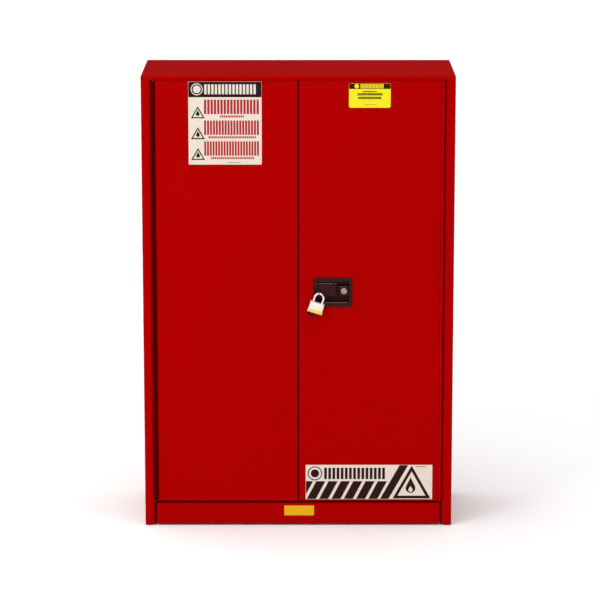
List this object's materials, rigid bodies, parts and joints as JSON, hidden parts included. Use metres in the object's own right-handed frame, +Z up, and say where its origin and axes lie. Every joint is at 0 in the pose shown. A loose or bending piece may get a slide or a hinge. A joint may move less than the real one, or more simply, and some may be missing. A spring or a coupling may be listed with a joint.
{
  "type": "flammable storage cabinet",
  "caption": "Double-walled steel safety cabinet with hinged doors, a three-point latch, a padlocked paddle handle, sloping shelves, a leak-proof sump and vents.",
  "frame": {"origin": "on the floor, under the middle of the whole object's box", "axes": "+X to the right as seen from the front, +Y to the back, +Z up; the doors face -Y"},
  "size_m": [1.108, 0.486, 1.632],
  "materials": {
    "red_paint": "glossy powder coat with a fine orange peel",
    "galvanized_steel": "zinc-coated, faint spangle",
    "stainless_steel": "fine brushed",
    "chrome": "polished plate",
    "handle_black": "fine-grained satin black",
    "laminated_steel": "stacked plated laminations",
    "yellow_plastic": "moulded satin",
    "black_plastic": "moulded satin",
    "label_cream": "printed satin film",
    "label_yellow": "printed satin film",
    "label_orange": "plain satin film",
    "brass": "turned"
  },
  "bodies": {
    "cabinet": {"outer_left_side": "red_paint", "outer_right_side": "red_paint", "outer_top": "red_paint", "outer_back": "red_paint", "outer_bottom": "red_paint", "inner_left_side": "red_paint", "inner_right_side": "red_paint", "inner_top": "red_paint", "inner_back": "red_paint", "sump_tray": "red_paint", "header_stop": "red_paint", "sill_panel": "red_paint", "sill_plate": "label_orange", "top_strike": "stainless_steel", "bottom_strike": "stainless_steel", "left_hinge_frame_leaf": "red_paint", "right_hinge_frame_leaf": "red_paint", "left_hinge_pin": "stainless_steel", "right_hinge_pin": "stainless_steel", "shelf_rail_left_lower": "galvanized_steel", "shelf_rail_right_lower": "galvanized_steel", "shelf_rail_left_upper": "galvanized_steel", "shelf_rail_right_upper": "galvanized_steel", "vent_sleeve_lower": "galvanized_steel", "vent_sleeve_upper": "galvanized_steel", "earth_screw": "brass"},
    "left_door": {"left_door_skin": "red_paint", "left_door_liner": "red_paint", "left_hinge_door_leaf": "red_paint", "centre_strike": "stainless_steel", "warning_label": "label_cream"},
    "right_door": {"right_door_skin": "red_paint", "right_door_liner": "red_paint", "right_hinge_door_leaf": "red_paint", "capacity_label": "label_yellow", "hazard_strip": "label_cream", "handle_housing": "handle_black", "paddle_pin": "stainless_steel", "key_cylinder": "chrome"},
    "paddle": {"handle_paddle": "handle_black"},
    "rotor": {"latch_rotor": "galvanized_steel"},
    "upper_latch": {"top_bolt": "stainless_steel"},
    "lower_latch": {"bottom_bolt": "stainless_steel"},
    "middle_latch": {"centre_bolt": "stainless_steel"},
    "lock_plug": {"key_plug": "chrome"},
    "shackle": {"padlock_shackle": "chrome"},
    "padlock": {"padlock_body": "laminated_steel", "padlock_bumper": "yellow_plastic"},
    "padlock_turning_key": {"padlock_key": "black_plastic"},
    "lower_shelf": {"shelf_lower": "galvanized_steel"},
    "upper_shelf": {"shelf_upper": "galvanized_steel"},
    "lower_bung": {"vent_bung_lower": "red_paint"},
    "upper_bung": {"vent_bung_upper": "red_paint"},
    "front_left_foot": {"foot_front_left": "galvanized_steel"},
    "front_right_foot": {"foot_front_right": "galvanized_steel"},
    "back_left_foot": {"foot_back_left": "galvanized_steel"},
    "back_right_foot": {"foot_back_right": "galvanized_steel"}
  },
  "joints": [
    {"name": "left_door_hinge", "type": "hinge", "parent": "cabinet", "child": "left_door", "pos_m": [-0.5085, -0.2165, 0.85], "axis": [0, 0, -1], "range_deg": [0, 175]},
    {"name": "right_door_hinge", "type": "hinge", "parent": "cabinet", "child": "right_door", "pos_m": [0.5085, -0.2165, 0.85], "axis": [0, 0, 1], "range_deg": [0, 175]},
    {"name": "paddle_pull", "type": "hinge", "parent": "right_door", "child": "paddle", "pos_m": [0.0985, -0.2125, 0.8905], "axis": [-1, 0, 0], "range_deg": [0, 35], "stiffness_Nm_per_rad": 0.4, "springref_deg": -20.05},
    {"name": "rotor_turn", "type": "hinge", "parent": "right_door", "child": "rotor", "pos_m": [0.0985, -0.18925, 0.86], "axis": [0, -1, 0], "range_deg": [0, 35.1]},
    {"name": "top_bolt_draw", "type": "slide", "parent": "right_door", "child": "upper_latch", "axis": [0, 0, -1], "range_m": [0, 0.012]},
    {"name": "bottom_bolt_draw", "type": "slide", "parent": "right_door", "child": "lower_latch", "axis": [0, 0, 1], "range_m": [0, 0.012]},
    {"name": "centre_bolt_draw", "type": "slide", "parent": "right_door", "child": "middle_latch", "axis": [1, 0, 0], "range_m": [0, 0.01]},
    {"name": "key_lock_turn", "type": "hinge", "parent": "right_door", "child": "lock_plug", "pos_m": [0.162, -0.214, 0.8635], "axis": [0, 1, 0], "range_deg": [0, 90]},
    {"name": "padlock_swing", "type": "hinge", "parent": "paddle", "child": "shackle", "pos_m": [0.0735, -0.2305, 0.8414], "axis": [0, 1, 0], "range_deg": [-77, 43]},
    {"name": "padlock_pull_open", "type": "slide", "parent": "shackle", "child": "padlock", "axis": [-0.2924, 0, -0.9563], "range_m": [0, 0.009]},
    {"name": "padlock_key_turn", "type": "hinge", "parent": "padlock", "child": "padlock_turning_key", "pos_m": [0.04932, -0.2305, 0.79651], "axis": [0.2924, 0, 0.9563], "range_deg": [0, 90]},
    {"name": "lower_shelf_lift", "type": "slide", "parent": "cabinet", "child": "lower_shelf", "axis": [0, 0, 1], "range_m": [0, 0.03]},
    {"name": "upper_shelf_lift", "type": "slide", "parent": "cabinet", "child": "upper_shelf", "axis": [0, 0, 1], "range_m": [0, 0.03]},
    {"name": "lower_bung_unscrew", "type": "slide", "parent": "cabinet", "child": "lower_bung", "axis": [-1, 0, 0], "range_m": [0, 0.025]},
    {"name": "upper_bung_unscrew", "type": "slide", "parent": "cabinet", "child": "upper_bung", "axis": [1, 0, 0], "range_m": [0, 0.025]},
    {"name": "front_left_foot_level", "type": "slide", "parent": "cabinet", "child": "front_left_foot", "axis": [0, 0, -1], "range_m": [0, 0.02]},
    {"name": "front_right_foot_level", "type": "slide", "parent": "cabinet", "child": "front_right_foot", "axis": [0, 0, -1], "range_m": [0, 0.02]},
    {"name": "back_left_foot_level", "type": "slide", "parent": "cabinet", "child": "back_left_foot", "axis": [0, 0, -1], "range_m": [0, 0.02]},
    {"name": "back_right_foot_level", "type": "slide", "parent": "cabinet", "child": "back_right_foot", "axis": [0, 0, -1], "range_m": [0, 0.02]}
  ],
  "couplings": [
    {"joint": "rotor_turn", "follows": "paddle_pull", "ratio": 1},
    {"joint": "top_bolt_draw", "follows": "paddle_pull", "m_per_rad": 0.0196},
    {"joint": "bottom_bolt_draw", "follows": "paddle_pull", "m_per_rad": 0.0196},
    {"joint": "centre_bolt_draw", "follows": "paddle_pull", "m_per_rad": 0.0163}
  ]
}
